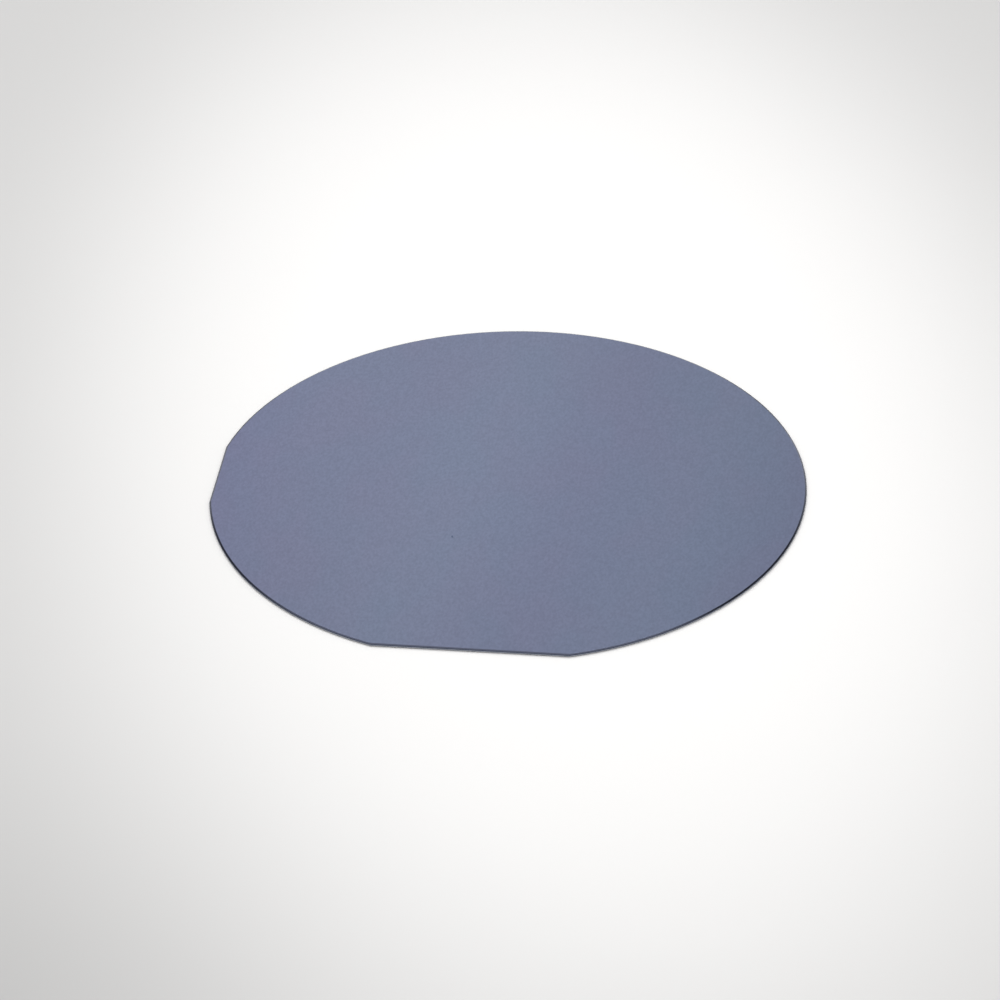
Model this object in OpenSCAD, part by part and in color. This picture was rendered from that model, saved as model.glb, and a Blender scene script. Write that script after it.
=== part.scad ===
// Silicon wafer, 100 mm: one thin round slice of single-crystal silicon with a
// mirror-polished upper face, a ground edge, and a primary and a secondary flat
// that mark the crystal's orientation.
//
// The back face lies on z = 0, with the centre of the round outline on the Z axis.
// The primary flat faces -Y. The secondary flat lies clockwise from it as seen on
// the polished face, so with the usual quarter turn it faces -X.
//
// One section is ground all the way round, along the circle and along both flats,
// and it meets itself in a mitre at the corners. From each face the section falls
// along a straight bevel, then turns through a small radius to an upright nose.

/* [Slice] */
// Diameter of the round outline
wafer_d = 100; // [75:0.5:150]
// Thickness, from the back face to the polished face
wafer_t = 0.525; // [0.4:0.005:0.8]

/* [Flats] */
// Length of the primary flat, between the points where its line meets the circle
primary_l = 32.5; // [16:0.5:60]
// Length of the secondary flat, measured in the same way
secondary_l = 17; // [8:0.5:40]
// Turn from the primary to the secondary flat, clockwise on the polished face
flat_turn = 90; // [45, 90, 180]

/* [Ground edge] */
// Width of the ground edge, from the rim of a face out to the nose
edge_w = 0.32; // [0.2:0.01:0.4]
// Slope of the bevels below the faces that they start from
bevel_a = 22; // [11:1:24]
// Radius that blends each bevel into the nose, if the thickness leaves room for it
nose_r = 0.1; // [0.04:0.01:0.2]

/* [Hidden] */
$fn = 180;

// Least height of the nose's upright part
nose_min = 0.02;
// How far a section or a plate reaches past what trims it
overreach = 1;

wafer_r = wafer_d / 2;

// Distance from the wafer's centre to a flat
function flat_reach(length) = sqrt(pow(wafer_r, 2) - pow(length / 2, 2));

// A blend of radius r turns the section from the bevel's slope to upright, and
// carries it this far outwards and this far down
function blend_run(r) = r * (1 - sin(bevel_a));
function blend_fall(r) = r * cos(bevel_a);

// Height that two bevels with blends of radius r leave for the nose's upright part
function nose_height(r) =
    wafer_t - 2 * ((edge_w - blend_run(r)) * tan(bevel_a) + blend_fall(r));

// That height falls evenly as the radius grows, which gives the largest radius
largest_r = (nose_height(0) - nose_min) / (nose_height(0) - nose_height(1));
blend_r = min(nose_r, largest_r);
nose_h = nose_height(blend_r);

// Corners of the upper half of the section. The nose is at x = 0, and y = 0 is
// halfway through the slice.
rim = [-edge_w, wafer_t / 2];
foot = [-blend_run(blend_r), nose_h / 2 + blend_fall(blend_r)];
nose = [0, nose_h / 2];

// What the upper blend's arc adds outside the chord from the foot of the bevel to
// the nose
module blend() {
    out = [foot.y - nose.y, nose.x - foot.x];
    intersection() {
        translate([-blend_r, nose.y]) circle(blend_r);
        polygon([foot, nose, nose + out, foot + out]);
    }
}

// Section of the slice, from x = -depth out to the ground edge, with its corners
// listed counter-clockwise
module slice_section(depth) {
    upper = [nose, foot, rim, [-depth, rim.y]];
    lower = [for (i = [3:-1:0]) [upper[i].x, -upper[i].y]];
    polygon(concat(upper, lower));
    blend();
    mirror([0, 1]) blend();
}

// The round slice, ground all the way round: the section, trimmed at the axis and
// turned about it
module round_slice() {
    rotate_extrude()
        intersection() {
            translate([wafer_r, wafer_t / 2]) slice_section(wafer_r + overreach);
            translate([0, -overreach]) square(wafer_d);
        }
}

// All that lies inside a flat that faces the given way: a wide plate, ground along
// that side
module flat_plate(facing, length) {
    rotate([0, 0, facing]) rotate([90, 0, 0])
        linear_extrude(wafer_d + 2 * overreach, center = true)
            translate([flat_reach(length), wafer_t / 2])
                slice_section(wafer_d + overreach);
}

module wafer() {
    color("lightslategray")
        intersection() {
            round_slice();
            flat_plate(-90, primary_l);
            flat_plate(-90 - flat_turn, secondary_l);
        }
}

wafer();
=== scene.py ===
"""Looks of a polished silicon wafer that lies on a pale table in a soft studio.

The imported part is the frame. Its one solid keeps its own shape, and its material
tells the mirror face, the ground edge and the etched back apart by where they lie.
Everything is in metres, in the part's own frame: the back face is on z = 0, the
primary flat faces -Y and the secondary flat faces -X.
"""

import logging
import math
from collections.abc import Callable
from dataclasses import dataclass
from enum import Enum

import bpy
import numpy as np
from mathutils import Matrix, Vector


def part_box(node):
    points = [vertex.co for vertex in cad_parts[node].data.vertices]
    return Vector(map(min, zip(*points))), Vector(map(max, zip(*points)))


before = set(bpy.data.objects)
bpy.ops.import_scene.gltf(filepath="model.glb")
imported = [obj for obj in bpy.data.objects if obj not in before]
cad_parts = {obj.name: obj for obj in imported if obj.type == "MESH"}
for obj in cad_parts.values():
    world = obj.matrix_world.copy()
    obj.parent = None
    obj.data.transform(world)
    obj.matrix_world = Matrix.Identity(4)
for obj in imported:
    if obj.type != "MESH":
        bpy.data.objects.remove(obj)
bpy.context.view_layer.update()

log = logging.getLogger("wafer")

MM = 0.001
Colour = tuple[float, float, float]
Triple = tuple[float, float, float]
Socket = bpy.types.NodeSocket
Sockets = bpy.types.bpy_prop_collection
Value = float | Socket


class Sum(Enum):
    """What a math node works out."""

    ADD = "ADD"
    TAKE = "SUBTRACT"
    TIMES = "MULTIPLY"
    OVER = "DIVIDE"
    LEAST = "MINIMUM"
    MOST = "MAXIMUM"
    EXP = "EXPONENT"
    ABOVE = "GREATER_THAN"
    WAVE = "COSINE"
    ANGLE = "ARCCOSINE"
    SIZE = "ABSOLUTE"


class Move(Enum):
    """What a vector math node works out."""

    ADD = "ADD"
    TAKE = "SUBTRACT"
    TIMES = "MULTIPLY"
    SCALE = "SCALE"
    UNIT = "NORMALIZE"
    LENGTH = "LENGTH"
    APART = "DISTANCE"
    DOT = "DOT_PRODUCT"


class Mix(Enum):
    """What a mix node mixes, with the places of its two inputs and its output."""

    NUMBERS = ("FLOAT", 2, 3, 0)
    COLOURS = ("RGBA", 6, 7, 2)


class Kind(Enum):
    """The kinds of socket that a node group shows."""

    VALUE = "NodeSocketFloat"
    VECTOR = "NodeSocketVector"


class Graph:
    """A shader node tree and short ways to add nodes to it."""

    def __init__(self, tree: bpy.types.NodeTree) -> None:
        """Takes over a tree and empties it.

        Args:
            tree: The node tree of a material, a world or a group.
        """
        self.tree = tree
        tree.nodes.clear()

    def node(self, kind: str, **settings: object) -> bpy.types.Node:
        """Adds a node.

        Args:
            kind: Blender's name for the node's type.
            settings: Values for the node's own properties.

        Returns:
            The new node.
        """
        made = self.tree.nodes.new(kind)
        for name, value in settings.items():
            setattr(made, name, value)
        return made

    def feed(self, socket: Socket, value: object) -> None:
        """Links a socket to another, or sets its value.

        Args:
            socket: The input that takes the value.
            value: An output socket, a number, or a tuple of numbers.
        """
        if isinstance(value, bpy.types.NodeSocket):
            self.tree.links.new(value, socket)
        else:
            socket.default_value = value

    def fill(self, node: bpy.types.Node, **inputs: object) -> Sockets:
        """Feeds a node's inputs by their names.

        Args:
            node: The node.
            inputs: Values or sockets for its inputs, with _ for each space in a name.

        Returns:
            The node's outputs.
        """
        for name, value in inputs.items():
            self.feed(node.inputs[name.replace("_", " ")], value)
        return node.outputs

    def math(self, what: Sum, a: Value, b: Value = 0.0) -> Socket:
        """Works out one sum.

        Args:
            what: The sum.
            a: The first number.
            b: The second number, where the sum takes one.

        Returns:
            The socket that holds the result.
        """
        made = self.node("ShaderNodeMath", operation=what.value)
        self.feed(made.inputs[0], a)
        self.feed(made.inputs[1], b)
        return made.outputs[0]

    def bell(self, value: Value, mid: float, reach: float) -> Socket:
        """Adds a bell curve: exp(-((value - mid) / reach)^2).

        Args:
            value: The value.
            mid: Where the bell is 1.
            reach: Distance from there at which it has fallen to 1/e.

        Returns:
            The socket that holds the result.
        """
        far = self.math(Sum.TIMES, self.math(Sum.TAKE, value, mid), 1 / reach)
        return self.math(Sum.EXP, self.math(Sum.TIMES, self.math(Sum.TIMES, far, far), -1.0))

    def vary(self, base: Value, pattern: Socket, span: float) -> Socket:
        """Varies a number by a pattern of 0 to 1: base + span * (pattern - 1/2).

        Args:
            base: The number.
            pattern: The pattern.
            span: What the pattern's whole range adds.

        Returns:
            The socket that holds the result.
        """
        centred = self.math(Sum.TAKE, pattern, 0.5)
        return self.math(Sum.ADD, base, self.math(Sum.TIMES, centred, span))

    def ramp(self, value: Value, start: float, end: float,
             low: float = 0.0, high: float = 1.0) -> Socket:
        """Eases from low to high as value goes from start to end.

        With t the share of the way, it is low + (high - low) * (3t^2 - 2t^3).

        Args:
            value: The number that drives the ramp.
            start: Where the ramp leaves low.
            end: Where the ramp reaches high.
            low: The result before the ramp.
            high: The result after the ramp.

        Returns:
            The socket that holds the result.
        """
        made = self.node("ShaderNodeMapRange", interpolation_type="SMOOTHSTEP")
        return self.fill(made, Value=value, From_Min=start, From_Max=end,
                         To_Min=low, To_Max=high)["Result"]

    def under(self, value: Value, limit: float, soft: float) -> Socket:
        """Marks where a value is under a limit: 1 under it, 0 over it, soft either way."""
        return self.ramp(value, limit - soft, limit + soft, 1.0, 0.0)

    def mixed(self, what: Mix, share: Value, a: object, b: object) -> Socket:
        """Mixes two things: a where share is 0 and b where it is 1.

        Args:
            what: What they are.
            share: How much of b counts.
            a: The first.
            b: The second.

        Returns:
            The socket that holds the mix.
        """
        data_type, first, second, result = what.value
        made = self.node("ShaderNodeMix", data_type=data_type)
        self.feed(made.inputs["Factor"], share)
        self.feed(made.inputs[first], a)
        self.feed(made.inputs[second], b)
        return made.outputs[result]

    def mix(self, share: Value, a: object, b: object) -> Socket:
        """Mixes two colours, each a socket or red, green, blue and 1."""
        return self.mixed(Mix.COLOURS, share, a, b)

    def blend(self, share: Value, a: Value, b: Value) -> Socket:
        """Mixes two numbers."""
        return self.mixed(Mix.NUMBERS, share, a, b)

    def varied(self, share: Value, colour: Colour, spread: Colour) -> Socket:
        """Varies a colour from colour * (1 - spread) to colour * (1 + spread).

        Args:
            share: 0 for the first of those, 1 for the second.
            colour: The colour.
            spread: What each of its parts gains or loses, as a share.

        Returns:
            The socket that holds the colour.
        """
        low, high = ((*(part * (1 + sign * by) for part, by in zip(colour, spread)), 1.0)
                     for sign in (-1, 1))
        return self.mix(share, low, high)

    def pair(self, what: Move, a: object, b: object) -> Sockets:
        """Works on one or two vectors.

        Args:
            what: What to work out.
            a: The first vector.
            b: The second vector, where the work takes one.

        Returns:
            The outputs, which are a vector and a value.
        """
        made = self.node("ShaderNodeVectorMath", operation=what.value)
        self.feed(made.inputs[0], a)
        self.feed(made.inputs[1], b)
        return made.outputs

    def vector(self, what: Move, a: object, b: object = (0.0, 0.0, 0.0)) -> Socket:
        """Works out a vector from one or two vectors."""
        return self.pair(what, a, b)["Vector"]

    def measure(self, what: Move, a: object, b: object = (0.0, 0.0, 0.0)) -> Socket:
        """Works out a number from one or two vectors."""
        return self.pair(what, a, b)["Value"]

    def scale(self, vector: object, by: Value) -> Socket:
        """Scales a vector."""
        made = self.node("ShaderNodeVectorMath", operation=Move.SCALE.value)
        return self.fill(made, Vector=vector, Scale=by)["Vector"]

    def flat(self, vector: Socket) -> Socket:
        """Takes the Z out of a vector."""
        return self.vector(Move.TIMES, vector, (1.0, 1.0, 0.0))

    def parts(self, vector: Socket) -> Sockets:
        """Takes a vector apart into X, Y and Z."""
        return self.fill(self.node("ShaderNodeSeparateXYZ"), Vector=vector)

    def own(self, place: Socket, middle: tuple[float, float], turn: float,
            size: tuple[float, float] = (1.0, 1.0)) -> Socket:
        """Reads a place in a pattern's own frame: from its middle, turned, and in its sizes.

        Args:
            place: The place.
            middle: The pattern's middle, along X and Y.
            turn: The pattern's turn about Z, in degrees.
            size: What counts as 1 along the pattern's own X and Y.

        Returns:
            The socket that holds the place in that frame.
        """
        made = self.node("ShaderNodeMapping", vector_type="TEXTURE")
        return self.fill(made, Vector=place, Location=(*middle, 0.0),
                         Rotation=(0.0, 0.0, math.radians(turn)), Scale=(*size, 1.0))["Vector"]

    def noise(self, place: Socket, scale: Value, detail: float = 2.0) -> Socket:
        """Reads fractal noise, each layer half as strong as the one before.

        Args:
            place: Where to read it.
            scale: Features for each metre.
            detail: How many finer layers are added to the first.

        Returns:
            The socket that holds the noise, about 0 to 1 with 0.5 in the middle.
        """
        made = self.node("ShaderNodeTexNoise")
        return self.fill(made, Vector=place, Scale=scale, Detail=detail, Roughness=0.5)["Fac"]

    def group(self, tree: bpy.types.NodeTree, **inputs: object) -> Sockets:
        """Places a node group, fills its inputs by their names, and gives its outputs."""
        return self.fill(self.node("ShaderNodeGroup", node_tree=tree), **inputs)

    def looked_at(self) -> Socket:
        """Marks what the camera, a mirror or glass looks at: 1 there, and 0 for other light."""
        path = self.node("ShaderNodeLightPath").outputs
        bent = self.math(Sum.MOST, path["Is Glossy Ray"], path["Is Transmission Ray"])
        return self.math(Sum.MOST, path["Is Camera Ray"], bent)


def new_material(name: str) -> tuple[bpy.types.Material, Graph, Socket]:
    """Makes a material with an empty graph.

    Args:
        name: The material's name.

    Returns:
        The material, its graph, and the place on the surface in Object coordinates.
    """
    made = bpy.data.materials.new(name)
    made.use_nodes = True
    graph = Graph(made.node_tree)
    return made, graph, graph.node("ShaderNodeTexCoord").outputs["Object"]


def new_group(name: str, takes: tuple[str, ...],
              gives: tuple[str, ...]) -> tuple[Graph, Sockets, Sockets]:
    """Makes an empty node group that takes a Position and numbers, and gives numbers.

    Args:
        name: The group's name.
        takes: The name of each number that it takes.
        gives: The name of each number that it gives.

    Returns:
        The group's graph, what it is given, and where its results go.
    """
    tree = bpy.data.node_groups.new(name, "ShaderNodeTree")
    socket = tree.interface.new_socket
    socket(name="Position", in_out="INPUT", socket_type=Kind.VECTOR.value)
    for label in takes:
        socket(name=label, in_out="INPUT", socket_type=Kind.VALUE.value)
    for label in gives:
        socket(name=label, in_out="OUTPUT", socket_type=Kind.VALUE.value)
    graph = Graph(tree)
    given = graph.node("NodeGroupInput").outputs
    return graph, given, graph.node("NodeGroupOutput").inputs


def ground_zones() -> bpy.types.NodeTree:
    """Makes the group that tells the parts of the slice's surface apart.

    The inset of a point is its distance in from the outline, which is the least of
    the radius less its distance from the axis, its y plus the primary flat's reach,
    and its x plus the secondary flat's reach. The polished face is over half the
    thickness and further in than the ground edge, and the etched back is under it.
    Shares of the thickness above and below the middle of the edge end its upright
    nose and then its rounded shoulders, and the bevels are what is left.

    Returns:
        The group's tree.
    """
    takes = ("Radius", "Primary Reach", "Secondary Reach", "Thickness", "Edge Width",
             "Nose Share", "Shoulder Share")
    gives = ("Ground", "Shoulder", "Nose", "Back", "Inset")
    g, given, result = new_group("slice zones", takes, gives)
    x, y, z = g.parts(given["Position"])
    from_axis = g.measure(Move.LENGTH, g.flat(given["Position"]))
    inset = g.math(Sum.TAKE, given["Radius"], from_axis)
    inset = g.math(Sum.LEAST, inset, g.math(Sum.ADD, y, given["Primary Reach"]))
    inset = g.math(Sum.LEAST, inset, g.math(Sum.ADD, x, given["Secondary Reach"]))
    past_rim = g.math(Sum.OVER, inset, given["Edge Width"])
    up = g.math(Sum.OVER, z, given["Thickness"])
    off_middle = g.math(Sum.SIZE, g.math(Sum.TAKE, up, 0.5))
    past_nose = g.math(Sum.OVER, off_middle, given["Nose Share"])
    past_shoulder = g.math(Sum.OVER, off_middle, given["Shoulder Share"])
    g.feed(result["Ground"], g.under(past_rim, 1.0, soft=0.015))
    g.feed(result["Nose"], g.under(past_nose, 1.0, soft=0.2))
    g.feed(result["Shoulder"], g.under(past_shoulder, 1.0, soft=0.1))
    g.feed(result["Back"], g.under(up, 0.5, soft=0.15))
    g.feed(result["Inset"], inset)
    return g.tree


def by_zone(join: Callable[..., Socket], zones: Sockets, face: object, back: object,
            bevel: object, nose: object) -> Socket:
    """Puts together what each zone of the slice has.

    Args:
        join: The graph's mix, for colours, or its blend, for numbers.
        zones: The outputs of the group of zones.
        face: What the polished face has.
        back: What the etched back has.
        bevel: What the bevels and shoulders have.
        nose: What the nose has.

    Returns:
        The socket that holds what the place has.
    """
    flat = join(zones["Back"], face, back)
    return join(zones["Ground"], flat, join(zones["Nose"], bevel, nose))


def fine_grain() -> bpy.types.NodeTree:
    """Makes the group for an even grain: noise, and noise eight times finer, mixed 2 to 1.

    Returns:
        The group's tree.
    """
    g, given, result = new_group("fine grain", ("Scale",), ("Grain",))
    finer = g.math(Sum.TIMES, given["Scale"], 8.0)
    coarse, fine = (g.noise(given["Position"], s, detail=1.0) for s in (given["Scale"], finer))
    g.feed(result["Grain"], g.blend(0.33, coarse, fine))
    return g.tree


def soft_cloud() -> bpy.types.NodeTree:
    """Makes the group for a slow drift over a surface: noise less its middle, times an amount.

    Returns:
        The group's tree.
    """
    g, given, result = new_group("soft cloud", ("Scale", "Amount"), ("Drift",))
    centred = g.math(Sum.TAKE, g.noise(given["Position"], given["Scale"], detail=3.0), 0.5)
    g.feed(result["Drift"], g.math(Sum.TIMES, centred, given["Amount"]))
    return g.tree


@dataclass(frozen=True)
class Speck:
    """One flat fleck of dust that lies on the polished face.

    Attributes:
        middle: Its place along X and Y, in metres.
        turn: Turn of its long side from Y, in degrees.
        half_size: Half its width and half its length.
        ragged: How far its outline strays, as a share of those.
        ragged_scale: Features of its outline for each metre.
        soft: Share of its size over which it ends.
        colour: Its colour.
        rough: Its roughness.
    """

    middle: tuple[float, float] = (-7.3 * MM, -15.15 * MM)
    turn: float = 12.0
    half_size: tuple[float, float] = (0.15 * MM, 0.36 * MM)
    ragged: float = 0.4
    ragged_scale: float = 5200.0
    soft: float = 0.15
    colour: Colour = (0.088, 0.118, 0.2)
    rough: float = 0.85

    def mask(self, g: Graph, place: Socket) -> Socket:
        """Marks the fleck, where the distance from its middle in half sizes plus noise is under 1.

        Args:
            g: The material's graph.
            place: The point on the surface.

        Returns:
            The socket that is 1 on the fleck and 0 off it.
        """
        away = g.measure(Move.LENGTH, g.flat(g.own(place, self.middle, self.turn, self.half_size)))
        reach = g.vary(away, g.noise(place, self.ragged_scale), 2 * self.ragged)
        return g.under(reach, 1.0, self.soft)


@dataclass(frozen=True)
class Patterns:
    """The sockets of the slice's fine patterns.

    Attributes:
        grit: Grain of the ground nose, 0 to 1.
        pits: Etch pits of the back, 0 to 1.
        lines: Grinding lines of the bevels, 0 to 1.
        mist: Grain of the polish, 0 to 1.
        haze: Patches of the polish, about 0.
        drift: Slow patches of the polish, about 0.
    """

    grit: Socket
    pits: Socket
    lines: Socket
    mist: Socket
    haze: Socket
    drift: Socket


@dataclass(frozen=True)
class Texture:
    """The sizes of the slice's fine patterns.

    Attributes:
        grit: Features of the ground nose's grain for each metre.
        pits: Features of the back's etch pits for each metre.
        mist: Features of the polish's grain for each metre.
        haze: Features of its patches for each metre.
        drift: Features of its slow patches for each metre.
        line_pitch: Distance between the grinding lines that follow the edge.
        draw: How far the polish draws its patterns out along Y.
    """

    grit: float = 9000.0
    pits: float = 1500.0
    mist: float = 2600.0
    haze: float = 460.0
    drift: float = 80.0
    line_pitch: float = 0.03 * MM
    draw: float = 1.8

    def read(self, g: Graph, place: Socket, inset: Socket, grain: bpy.types.NodeTree,
             cloud: bpy.types.NodeTree) -> Patterns:
        """Reads the patterns.

        Args:
            g: The material's graph.
            place: The point on the surface.
            inset: Its distance in from the outline, which the grinding lines go by.
            grain: The fine grain group.
            cloud: The soft cloud group.

        Returns:
            The patterns.
        """
        drawn = g.vector(Move.TIMES, place, (1.0, 1 / self.draw, 1.0))
        lines = g.fill(g.node("ShaderNodeTexNoise", noise_dimensions="1D"),
                       W=g.math(Sum.OVER, inset, self.line_pitch), Scale=1.0)
        return Patterns(
            grit=g.group(grain, Position=place, Scale=self.grit)["Grain"],
            pits=g.group(grain, Position=place, Scale=self.pits)["Grain"],
            lines=lines["Fac"],
            mist=g.group(grain, Position=drawn, Scale=self.mist)["Grain"],
            haze=g.group(cloud, Position=drawn, Scale=self.haze, Amount=1.0)["Drift"],
            drift=g.group(cloud, Position=drawn, Scale=self.drift, Amount=1.0)["Drift"])


@dataclass(frozen=True)
class Finish:
    """How one zone of the slice is finished, and how far a pattern of 0 to 1 varies it.

    Attributes:
        colour: Reflectance.
        spread: Share by which the pattern varies that, both ways.
        rough: Roughness.
        rough_span: What the pattern's whole range adds to that.
        relief: Height of the pattern, as a share of the bump's reach.
    """

    colour: Colour
    spread: float
    rough: float
    rough_span: float
    relief: float

    def paint(self, g: Graph, pattern: Socket) -> Socket:
        """Works out its colour."""
        return g.varied(pattern, self.colour, (self.spread, self.spread, self.spread))

    def roughness(self, g: Graph, pattern: Socket) -> Socket:
        """Works out its roughness."""
        return g.vary(self.rough, pattern, self.rough_span)

    def height(self, g: Graph, pattern: Socket) -> Socket:
        """Works out its height."""
        return g.math(Sum.TIMES, pattern, self.relief)


@dataclass(frozen=True)
class PaintedSheen:
    """Painted reflection on the face: slow bands of light and shade, a tilt along X and a darker
    -X margin, all put into its colour.

    Attributes:
        turn: Turn of its direction from X, in degrees.
        mid: Distance of its darkest line from the axis.
        wave: Distance from one dark line to the next.
        fade: Distance over which it fades.
        depth: What it takes off each colour at its darkest.
        tilt: What each colour loses for each metre along X.
        margin_x: Place along X where the -X margin is dullest.
        margin_reach: Distance over which that fades.
        margin_depth: What it takes off each colour there.
    """

    turn: float = -8.0
    mid: float = 13 * MM
    wave: float = 41 * MM
    fade: float = 90 * MM
    depth: Colour = (0.009, 0.0265, 0.0145)
    tilt: Colour = (1.0, 0.68, 0.42)
    margin_x: float = -52 * MM
    margin_reach: float = 14 * MM
    margin_depth: Colour = (0.04, 0.09, 0.015)

    def kept(self, g: Graph, place: Socket) -> Socket:
        """Works out what the painted reflection keeps of each colour.

        With u the distance from its darkest line, that is
        1 - depth * cos(2 pi u / wave) * exp(-(u / fade)^2) - tilt * x
        - margin_depth * exp(-((x - margin_x) / margin_reach)^2).

        Args:
            g: The material's graph.
            place: The point on the surface.

        Returns:
            The socket that holds the share of each colour.
        """
        turn = math.radians(self.turn)
        middle = self.mid * math.cos(turn), self.mid * math.sin(turn)
        u = g.parts(g.own(place, middle, self.turn))["X"]
        x = g.parts(place)["X"]
        wave = g.math(Sum.WAVE, g.math(Sum.TIMES, u, 2 * math.pi / self.wave))
        # Painted reflection: the bands, the tilt and the margin take light off the face's colour.
        kept: object = (1.0, 1.0, 1.0)
        for depth, share in ((self.depth, g.math(Sum.TIMES, wave, g.bell(u, 0.0, self.fade))),
                             (self.tilt, x),
                             (self.margin_depth, g.bell(x, self.margin_x, self.margin_reach))):
            kept = g.vector(Move.TAKE, kept, g.scale(depth, share))
        return kept


@dataclass(frozen=True)
class Polish:
    """The mirror finish of the face, with the unevenness that polishing leaves and a painted
    reflection.

    Attributes:
        colour: Reflectance.
        rough: Roughness.
        tint: Share by which the slow patches vary each colour, both ways.
        tint_reach: How far from their middle the patches are when that is whole.
        mist_depth: Share by which the grain varies the brightness, both ways.
        mist_reach: Values of the grain between which it does.
        haze_depth: What the haze adds to the brightness, for each unit of it.
        haze_rough: What it adds to the roughness.
        haze_relief: Its height, as a share of the bump's reach.
        painted_sheen: Painted reflection: slow bands of light and shade in the face's colour.
    """

    colour: Colour = (0.195, 0.2238, 0.336)
    rough: float = 0.035
    tint: Colour = (-0.014, 0.006, 0.003)
    tint_reach: float = 0.12
    mist_depth: float = 0.1
    mist_reach: tuple[float, float] = (0.2, 0.8)
    haze_depth: float = 0.016
    haze_rough: float = 0.02
    haze_relief: float = 0.002
    painted_sheen: PaintedSheen = PaintedSheen()

    def paint(self, g: Graph, place: Socket, patterns: Patterns) -> Socket:
        """Works out its colour.

        Args:
            g: The material's graph.
            place: The point on the surface.
            patterns: The fine patterns.

        Returns:
            The socket that holds the colour.
        """
        shift = g.ramp(patterns.drift, -self.tint_reach, self.tint_reach)
        mist = g.ramp(patterns.mist, *self.mist_reach, 1 - self.mist_depth, 1 + self.mist_depth)
        bright = g.math(Sum.ADD, mist, g.math(Sum.TIMES, patterns.haze, self.haze_depth))
        # Painted reflection: the face's colour is dimmed and brightened in slow bands.
        scale = g.scale(self.painted_sheen.kept(g, place), bright)
        return g.vector(Move.TIMES, g.varied(shift, self.colour, self.tint), scale)

    def roughness(self, g: Graph, haze: Socket) -> Socket:
        """Works out its roughness."""
        return g.math(Sum.ADD, self.rough, g.math(Sum.TIMES, haze, self.haze_rough))

    def height(self, g: Graph, haze: Socket) -> Socket:
        """Works out its height."""
        return g.math(Sum.TIMES, haze, self.haze_relief)


@dataclass(frozen=True)
class SiliconFinish:
    """The slice's material: mirror face, ground edge and etched back.

    Attributes:
        face: The polished face.
        back: The etched back.
        bevel: The bevels, which have grinding lines; their dark colour is partly the ground finish
            and partly painted dark reflection for the dark rim line.
        shoulder: Reflectance of the rounded shoulders, darker still: partly the ground finish and
            partly painted dark reflection that widens the dark rim line.
        nose: The upright nose.
        pit_reach: Values of the pits' pattern between which the back changes colour.
        texture: The sizes of the fine patterns.
        speck: The fleck of dust.
        bump_reach: Height of a relief of 1.
    """

    face: Polish = Polish()
    back: Finish = Finish((0.205, 0.218, 0.255), 0.1, rough=0.47, rough_span=0.25, relief=0.5)
    # The bevels' and shoulders' dark colours are partly their ground finish and partly painted
    # dark reflection, which draws the dark rim line.
    bevel: Finish = Finish((0.046, 0.05, 0.072), 0.12, rough=0.12, rough_span=0.1, relief=0.06)
    shoulder: Colour = (0.04, 0.05, 0.08)
    nose: Finish = Finish((0.38, 0.40, 0.45), 0.14, rough=0.4, rough_span=0.2, relief=0.06)
    pit_reach: tuple[float, float] = (0.3, 0.7)
    texture: Texture = Texture()
    speck: Speck = Speck()
    bump_reach: float = 0.004 * MM

    def material(self, wafer: "Wafer", grain: bpy.types.NodeTree,
                 cloud: bpy.types.NodeTree) -> bpy.types.Material:
        """Builds the material.

        Args:
            wafer: The wafer, for its sizes.
            grain: The fine grain group.
            cloud: The soft cloud group.

        Returns:
            The material.
        """
        made, g, place = new_material("silicon")
        zones = g.group(ground_zones(), Position=place, **wafer.sizes())
        seen = self.texture.read(g, place, zones["Inset"], grain, cloud)
        on_face = g.math(Sum.TAKE, 1.0, zones["Back"])
        speck = g.math(Sum.TIMES, self.speck.mask(g, place), on_face)

        # Partly painted dark reflection: the bevels and shoulders take their dark colours here.
        ground = self.bevel.paint(g, seen.lines)
        colour = by_zone(g.mix, zones,
                         face=self.face.paint(g, place, seen),
                         back=self.back.paint(g, g.ramp(seen.pits, *self.pit_reach)),
                         bevel=g.mix(zones["Shoulder"], ground, (*self.shoulder, 1.0)),
                         nose=self.nose.paint(g, seen.grit))
        rough = by_zone(g.blend, zones,
                        face=self.face.roughness(g, seen.haze),
                        back=self.back.roughness(g, seen.pits),
                        bevel=self.bevel.roughness(g, seen.lines),
                        nose=self.nose.roughness(g, seen.grit))
        height = by_zone(g.blend, zones,
                         face=self.face.height(g, seen.haze),
                         back=self.back.height(g, seen.pits),
                         bevel=self.bevel.height(g, seen.lines),
                         nose=self.nose.height(g, seen.grit))
        bump = g.fill(g.node("ShaderNodeBump"), Height=height, Distance=self.bump_reach)
        shader = g.fill(g.node("ShaderNodeBsdfPrincipled"),
                        Base_Color=g.mix(speck, colour, (*self.speck.colour, 1.0)),
                        Roughness=g.blend(speck, rough, self.speck.rough),
                        Metallic=g.math(Sum.TAKE, 1.0, speck),
                        Normal=bump["Normal"])
        g.fill(g.node("ShaderNodeOutputMaterial"), Surface=shader["BSDF"])
        return made


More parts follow.
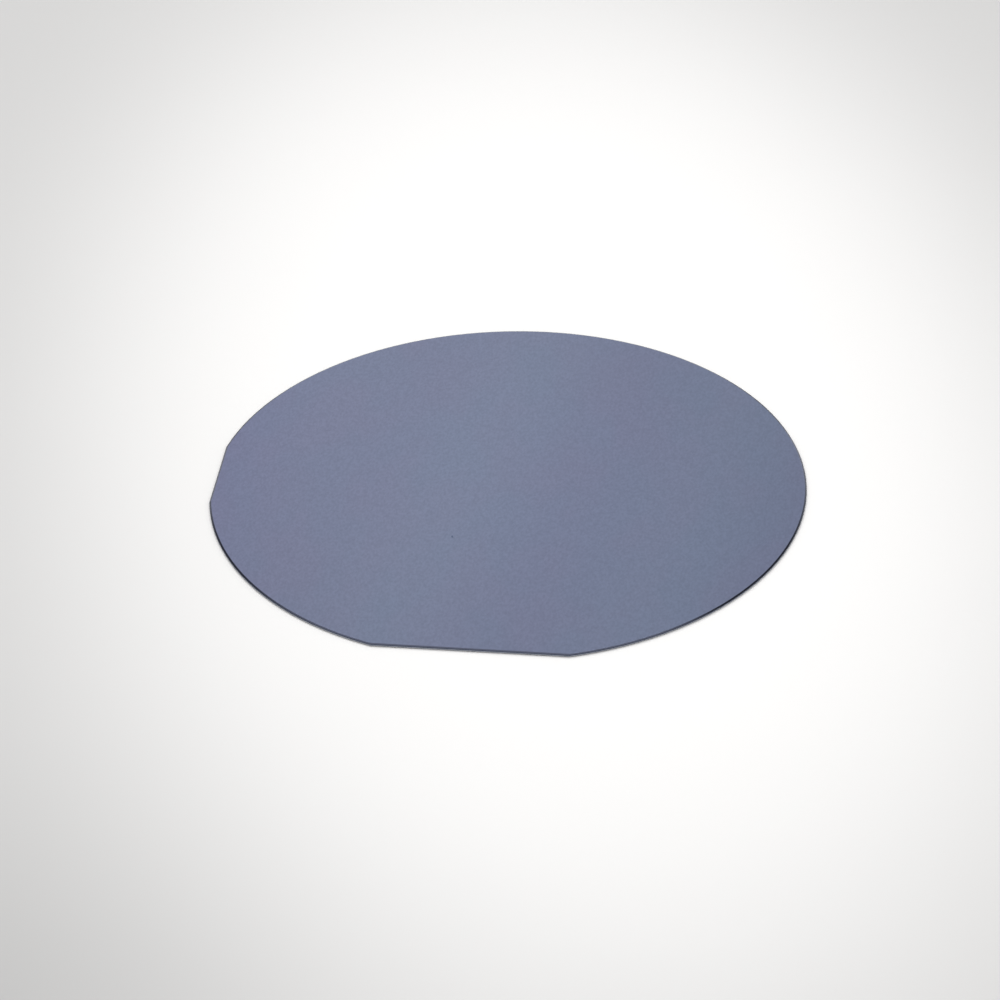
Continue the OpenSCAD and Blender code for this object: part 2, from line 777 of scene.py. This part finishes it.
@dataclass(frozen=True)
class TableFinish:
    """The pale table's material: a painted pool of light that greys outwards.

    Attributes:
        white: Colour in the pool.
        grey: The far table's share of that colour.
        peak: The pool's share at its middle, before it is held to 1.
        middle: The pool's middle along X and Y.
        half_size: Its half width and half depth, where its rise has fallen to 1/e.
        turn: Turn of its wide axis from X, in degrees.
        shade: The middle of a soft shade at the front left, along X and Y.
        shade_reach: Its radius, where it has faded to 1/e.
        shade_depth: What it takes off the colour at its middle.
        drift_scale: Features of the table's slow patches for each metre.
        drift_depth: What they add to the colour.
        lift: The share of its light that the table gives to what looks at it.
        rim_lift: That share at the table's far rim.
        rough: Its roughness.
    """

    white: Colour = (0.93, 0.925, 0.921)
    grey: float = 0.66
    peak: float = 1.02
    middle: tuple[float, float] = (7.4 * MM, 18 * MM)
    half_size: tuple[float, float] = (85.5 * MM, 173 * MM)
    turn: float = 12.0
    shade: tuple[float, float] = (-85 * MM, -170 * MM)
    shade_reach: float = 60 * MM
    shade_depth: float = 0.14
    drift_scale: float = 22.0
    drift_depth: float = 0.012
    lift: float = 0.15
    rim_lift: float = 0.8
    rough: float = 0.7

    def material(self, cloud: bpy.types.NodeTree, rim: float) -> bpy.types.Material:
        """Builds the material.

        The painted pool of light is grey + (peak - grey) * exp(-q^2), at most 1, where q is
        (u / half width)^2 + (v / half depth)^2, and u and v run along its own axes
        from its middle. The shade is shade_depth * exp(-(d / shade_reach)^2), where d
        is the distance from its middle.

        Args:
            cloud: The soft cloud group.
            rim: The height of the table's far rim.

        Returns:
            The material.
        """
        made, g, place = new_material("pale_table")
        # Painted pool of light: the table's colour is whitest at the pool's middle and greys
        # outwards.
        away = g.flat(g.own(place, self.middle, self.turn, self.half_size))
        rise = g.bell(g.measure(Move.DOT, away, away), 0.0, 1.0)
        pool = g.math(Sum.ADD, self.grey, g.math(Sum.TIMES, rise, self.peak - self.grey))
        pool = g.math(Sum.LEAST, pool, 1.0)
        drift = g.group(cloud, Position=place, Scale=self.drift_scale, Amount=self.drift_depth)
        shaded = g.measure(Move.APART, g.flat(place), (*self.shade, 0.0))
        shade = g.math(Sum.TIMES, g.bell(shaded, 0.0, self.shade_reach), self.shade_depth)
        share = g.math(Sum.TAKE, g.math(Sum.ADD, pool, drift["Drift"]), shade)
        colour = g.scale(self.white, share)

        lift = g.ramp(g.parts(place)["Z"], 0.0, rim, self.lift, self.rim_lift)
        shader = g.fill(g.node("ShaderNodeBsdfPrincipled"), Base_Color=colour,
                        Roughness=self.rough, Specular_IOR_Level=0.0)
        light = g.fill(g.node("ShaderNodeEmission"), Color=colour,
                       Strength=g.math(Sum.TIMES, lift, g.looked_at()))
        both = g.node("ShaderNodeAddShader")
        g.feed(both.inputs[0], shader["BSDF"])
        g.feed(both.inputs[1], light["Emission"])
        g.fill(g.node("ShaderNodeOutputMaterial"), Surface=both.outputs[0])
        return made


@dataclass
class Wafer:
    """The wafer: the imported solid, measured and dressed.

    Attributes:
        radius: Radius of the round outline.
        primary_reach: Distance from the centre to the primary flat.
        secondary_reach: Distance from the centre to the secondary flat.
        thickness: From the back face to the polished face.
        edge_width: Width of the ground edge.
        nose_share: Half the height of the upright nose, as a share of the thickness.
        shoulder_share: From the middle to where a shoulder meets its bevel, in the same way.
    """

    radius: float
    primary_reach: float
    secondary_reach: float
    thickness: float
    edge_width: float = 0.32 * MM
    nose_share: float = 0.105
    shoulder_share: float = 0.3

    @classmethod
    def measured(cls, node: str) -> "Wafer":
        """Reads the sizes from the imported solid's box.

        Args:
            node: The solid's name.

        Returns:
            The wafer.
        """
        low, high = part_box(node)
        return cls(radius=high.y, primary_reach=-low.y, secondary_reach=-low.x,
                   thickness=high.z - low.z)

    def sizes(self) -> dict[str, float]:
        """Lists the sizes that the group of zones takes.

        Returns:
            Each size under the name of its input, with _ for each space.
        """
        return {"Radius": self.radius, "Primary_Reach": self.primary_reach,
                "Secondary_Reach": self.secondary_reach, "Thickness": self.thickness,
                "Edge_Width": self.edge_width, "Nose_Share": self.nose_share,
                "Shoulder_Share": self.shoulder_share}

    def dress(self, node: str, finish: SiliconFinish, grain: bpy.types.NodeTree,
              cloud: bpy.types.NodeTree) -> None:
        """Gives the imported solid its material.

        Args:
            node: The solid's name.
            finish: The silicon finish.
            grain: The fine grain group.
            cloud: The soft cloud group.
        """
        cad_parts[node].material_slots[0].material = finish.material(self, grain, cloud)


@dataclass
class Table:
    """The pale table under the wafer, which curves up far away into a low wall.

    Attributes:
        flat: Radius of the flat part.
        reach: Radius of the far rim.
        height: Height of the far rim.
        gap: How far the table lies under the back face.
        hub: The least s, which is that of the first ring.
        rings: Steps from the middle to the rim.
        spokes: Steps round it.
    """

    flat: float = 1.35
    reach: float = 2.9
    height: float = 0.5
    gap: float = 0.004 * MM
    hub: float = 0.004
    rings: int = 48
    spokes: int = 96

    def surface(self) -> tuple[np.ndarray, np.ndarray]:
        """Works out the table as a surface of two parameters, the radius r and the angle a.

        A point is (r cos a, r sin a, h), where h is -gap on the flat part, and past it
        rises as height * t^2, where t is the share of the way from flat to reach. The
        rings lie closer together near the middle: r = reach * s^2, for even steps of s
        from hub to 1.

        Returns:
            The points, and the corners of each quadrilateral, as rows of a grid.
        """
        r = self.reach * np.linspace(self.hub, 1.0, self.rings) ** 2
        a = np.linspace(0.0, 2 * math.pi, self.spokes, endpoint=False)
        radius, angle = np.meshgrid(r, a, indexing="ij")
        t = np.clip((radius - self.flat) / (self.reach - self.flat), 0.0, 1.0)
        points = np.stack([radius * np.cos(angle), radius * np.sin(angle),
                           self.height * t**2 - self.gap], axis=-1)
        ring, spoke = np.meshgrid(np.arange(self.rings - 1), np.arange(self.spokes),
                                  indexing="ij")
        turn = (spoke + 1) % self.spokes
        corners = np.stack([ring * self.spokes + spoke, (ring + 1) * self.spokes + spoke,
                            (ring + 1) * self.spokes + turn, ring * self.spokes + turn], axis=-1)
        return points.reshape(-1, 3), corners.reshape(-1, 4)

    def build(self) -> bpy.types.Object:
        """Builds the table's object, with one face over the hub to close it.

        Returns:
            The object.
        """
        points, corners = self.surface()
        mesh = bpy.data.meshes.new("table")
        hub = tuple(range(self.spokes))
        mesh.from_pydata(points, [], [*corners.tolist(), hub])
        mesh.shade_smooth()
        made = bpy.data.objects.new("table", mesh)
        bpy.context.scene.collection.objects.link(made)
        return made


@dataclass(frozen=True)
class Arm:
    """One dim arm of the hoop, between its foot at the wafer's side and its crown.

    A place on the hoop is named by the part of the bevel that mirrors it: 0 for the
    part at the wafer's side, and 1 for the part that faces the camera.

    Attributes:
        start: Where the foot's brightness starts to fall.
        full: Where the arm is dimmest.
        ease: Where it starts to brighten.
        end: Where it has the brightness of the crown.
        level: Its brightness where it is dimmest.
    """

    start: float
    full: float
    ease: float
    end: float
    level: float


@dataclass(frozen=True)
class Lamp:
    """A square soft lamp that shines at the origin, and that mirrors don't show.

    Attributes:
        name: Its name.
        place: Where it hangs.
        size: The length of its side.
        power: Its power in watts.
    """

    name: str
    place: Triple
    size: float
    power: float

    def build(self) -> None:
        """Hangs the lamp."""
        data = bpy.data.lights.new(self.name, "AREA")
        data.shape, data.size, data.energy = "SQUARE", self.size, self.power
        made = bpy.data.objects.new(self.name, data)
        made.location = self.place
        made.rotation_mode = "QUATERNION"
        made.rotation_quaternion = (-Vector(self.place)).to_track_quat("-Z", "Y")
        made.visible_glossy = False
        made.visible_camera = False
        bpy.context.scene.collection.objects.link(made)


@dataclass
class Studio:
    """The light: an even dome, soft lamps, and what the mirror face shows.

    What looks along a direction sees a pale room. The tilt of a direction is that
    of a surface that mirrors it to the camera. The level face mirrors a pale card,
    its middle a little brighter, and the ground bevel mirrors a narrow hoop that
    has two dim arms, a bright crown over the camera, and bright feet.

    Attributes:
        azimuth: The camera's azimuth, in degrees.
        elevation: The camera's elevation.
        dome: Strength of the even light from all round.
        colour: Colour of the dome and of the room.
        card_turn: Turn of the card's middle from straight back, to the right.
        card_rise: Elevation of the card's middle.
        card_level: Brightness of its middle.
        card_field: Brightness of the rest of it.
        card_reach: Tilts at which the card starts to pass into the room, and at which it has.
        spot: How far the bright middle spreads, in degrees.
        hoop_tilt: Tilt of the hoop's crown, over the camera.
        hoop_widen: What the hoop's tilt gains towards the sides.
        hoop_band: Half the width of the hoop, in degrees of tilt.
        hoop_fade: The width of its soft border.
        crown: Brightness of its crown.
        foot: Brightness of its feet.
        foot_reach: Places on the hoop where the feet begin, and where they are whole.
        left: Its left arm.
        right: Its right arm.
        room: Brightness of the room.
        horizon: Brightness of the room at the horizon.
        horizon_reach: Height of a unit direction at which the room is whole.
        lamps: The soft lamps.
    """

    azimuth: float
    elevation: float
    dome: float = 0.66
    colour: Colour = (1.0, 0.997, 0.99)
    card_turn: float = -0.7
    card_rise: float = 32.7
    card_level: float = 0.95
    card_field: float = 0.68
    card_reach: tuple[float, float] = (4.0, 8.0)
    spot: float = 2.85
    hoop_tilt: float = 22.8
    hoop_widen: float = 1.2
    hoop_band: float = 2.0
    hoop_fade: float = 1.5
    crown: float = 2.2
    foot: float = 1.8
    foot_reach: tuple[float, float] = (-0.5, -0.2)
    left: Arm = Arm(start=-0.05, full=0.26, ease=0.42, end=0.84, level=0.42)
    right: Arm = Arm(start=-0.08, full=0.42, ease=0.7, end=0.9, level=0.32)
    room: float = 0.92
    horizon: float = 0.75
    horizon_reach: float = 0.12
    lamps: tuple[Lamp, ...] = (Lamp("key", (-0.5, 1.0, 1.5), size=1.3, power=9.0),
                               Lamp("fill", (0.9, -0.3, 1.5), size=1.3, power=5.0))

    def build(self) -> None:
        """Builds the world and the lamps."""
        self.world()
        for lamp in self.lamps:
            lamp.build()

    def world(self) -> None:
        """Builds the world: the dome for diffuse light, and the room for what looks at it."""
        made = bpy.data.worlds.new("studio")
        bpy.context.scene.world = made
        made.use_nodes = True
        g = Graph(made.node_tree)
        towards = g.vector(Move.UNIT, g.node("ShaderNodeTexCoord").outputs["Generated"])
        to_camera = self.direction(180.0, self.elevation)
        normal = g.vector(Move.UNIT, g.vector(Move.ADD, towards, to_camera))
        tilt = g.math(Sum.ANGLE, g.parts(normal)["Z"])
        room = g.ramp(g.parts(towards)["Z"], 0.0, self.horizon_reach, self.horizon, self.room)
        past_card = g.ramp(tilt, *(math.radians(reach) for reach in self.card_reach))
        around = g.blend(past_card, self.card(g, towards), room)
        share, level = self.hoop(g, normal, tilt)
        strength = g.blend(g.looked_at(), self.dome, g.blend(share, around, level))
        light = g.fill(g.node("ShaderNodeBackground"), Color=(*self.colour, 1.0),
                       Strength=strength)
        g.fill(g.node("ShaderNodeOutputWorld"), Surface=light["Background"])

    def card(self, g: Graph, towards: Socket) -> Socket:
        """Works out the card's brightness.

        With a the angle from the card's middle, its glow is exp((cos a - 1) / spot^2).

        Args:
            g: The world's graph.
            towards: The direction of the look.

        Returns:
            The socket that holds the brightness.
        """
        near = g.measure(Move.DOT, towards, self.direction(self.card_turn, self.card_rise))
        off = g.math(Sum.OVER, g.math(Sum.TAKE, near, 1.0), math.radians(self.spot) ** 2)
        return g.blend(g.math(Sum.EXP, off), self.card_field, self.card_level)

    def hoop(self, g: Graph, normal: Socket, tilt: Socket) -> tuple[Socket, Socket]:
        """Works out the hoop.

        Its tilt is hoop_tilt + hoop_widen * s^2, where s and the place f on the hoop
        are the shares of the mirroring surface's level direction that point to the
        right and to the camera.

        Args:
            g: The world's graph.
            normal: Which way the surface faces that mirrors the look to the camera.
            tilt: Its tilt.

        Returns:
            The sockets that hold how much of the hoop shows, and its brightness.
        """
        level = g.vector(Move.UNIT, g.flat(normal))
        side = g.measure(Move.DOT, level, self.direction(90.0, 0.0))
        front = g.measure(Move.DOT, level, self.direction(180.0, 0.0))
        widen = g.math(Sum.TIMES, g.math(Sum.TIMES, side, side), math.radians(self.hoop_widen))
        off_crown = g.math(Sum.TAKE, tilt, math.radians(self.hoop_tilt))
        off_hoop = g.math(Sum.SIZE, g.math(Sum.TAKE, off_crown, widen))
        band_end = self.hoop_band + self.hoop_fade
        band = g.ramp(off_hoop, math.radians(self.hoop_band), math.radians(band_end), 1.0, 0.0)
        levels = []
        for arm in (self.left, self.right):
            lower = g.ramp(front, arm.start, arm.full, self.foot, arm.level)
            levels.append(g.blend(g.ramp(front, arm.ease, arm.end), lower, self.crown))
        share = g.math(Sum.TIMES, band, g.ramp(front, *self.foot_reach))
        return share, g.blend(g.math(Sum.ABOVE, side, 0.0), *levels)

    def direction(self, turn: float, rise: float) -> Triple:
        """Works out a direction as a unit vector.

        Args:
            turn: Turn from straight back to the right, in degrees.
            rise: Elevation.

        Returns:
            The vector.
        """
        turn, rise = math.radians(turn - self.azimuth), math.radians(rise)
        return math.sin(turn) * math.cos(rise), math.cos(turn) * math.cos(rise), math.sin(rise)


@dataclass
class Camera:
    """The camera: a long lens that looks down at the wafer.

    Attributes:
        azimuth: Angle round the wafer, in degrees: 0 looks along +Y and 90 along -X.
        elevation: Angle above the table.
        distance: Distance from the aim.
        roll: Turn of the picture to the left.
        lens: Focal length in millimetres.
        sensor: Width of the sensor in millimetres.
        clip: The nearest and the furthest that it sees.
        aim: The point that it looks at.
    """

    azimuth: float = 8.471
    elevation: float = 33.48
    distance: float = 1.0725
    roll: float = 1.681
    lens: float = 231.0
    sensor: float = 36.0
    clip: tuple[float, float] = (0.05, 20.0)
    aim: Triple = (-0.986 * MM, -2.724 * MM, 0.0)

    def build(self) -> None:
        """Builds the camera and makes it the scene's."""
        data = bpy.data.cameras.new("camera")
        data.lens, data.sensor_width = self.lens, self.sensor
        data.clip_start, data.clip_end = self.clip
        made = bpy.data.objects.new("camera", data)
        a, e = math.radians(self.azimuth), math.radians(self.elevation)
        back = Vector((math.sin(a) * math.cos(e), -math.cos(a) * math.cos(e), math.sin(e)))
        made.rotation_mode = "QUATERNION"
        level = (-back).to_track_quat("-Z", "Y")
        roll = Matrix.Rotation(-math.radians(self.roll), 4, "Z").to_quaternion()
        made.rotation_quaternion = level @ roll
        made.location = Vector(self.aim) + back * self.distance
        bpy.context.scene.collection.objects.link(made)
        bpy.context.scene.camera = made


def main() -> None:
    """Builds the scene, one piece after another."""
    logging.basicConfig(level=logging.INFO, format="%(name)s: %(message)s")
    bpy.context.scene.view_settings.view_transform = "Standard"
    camera = Camera()
    camera.build()
    log.info("camera at azimuth %.2f, elevation %.2f", camera.azimuth, camera.elevation)
    grain, cloud = fine_grain(), soft_cloud()
    wafer = Wafer.measured("wafer")
    wafer.dress("wafer", SiliconFinish(), grain, cloud)
    log.info("wafer of radius %.3f mm and thickness %.3f mm dressed",
             wafer.radius / MM, wafer.thickness / MM)
    table = Table()
    table.build().data.materials.append(TableFinish().material(cloud, table.height))
    log.info("table laid")
    Studio(camera.azimuth, camera.elevation).build()
    log.info("studio lit")


if __name__ == "__main__":
    main()
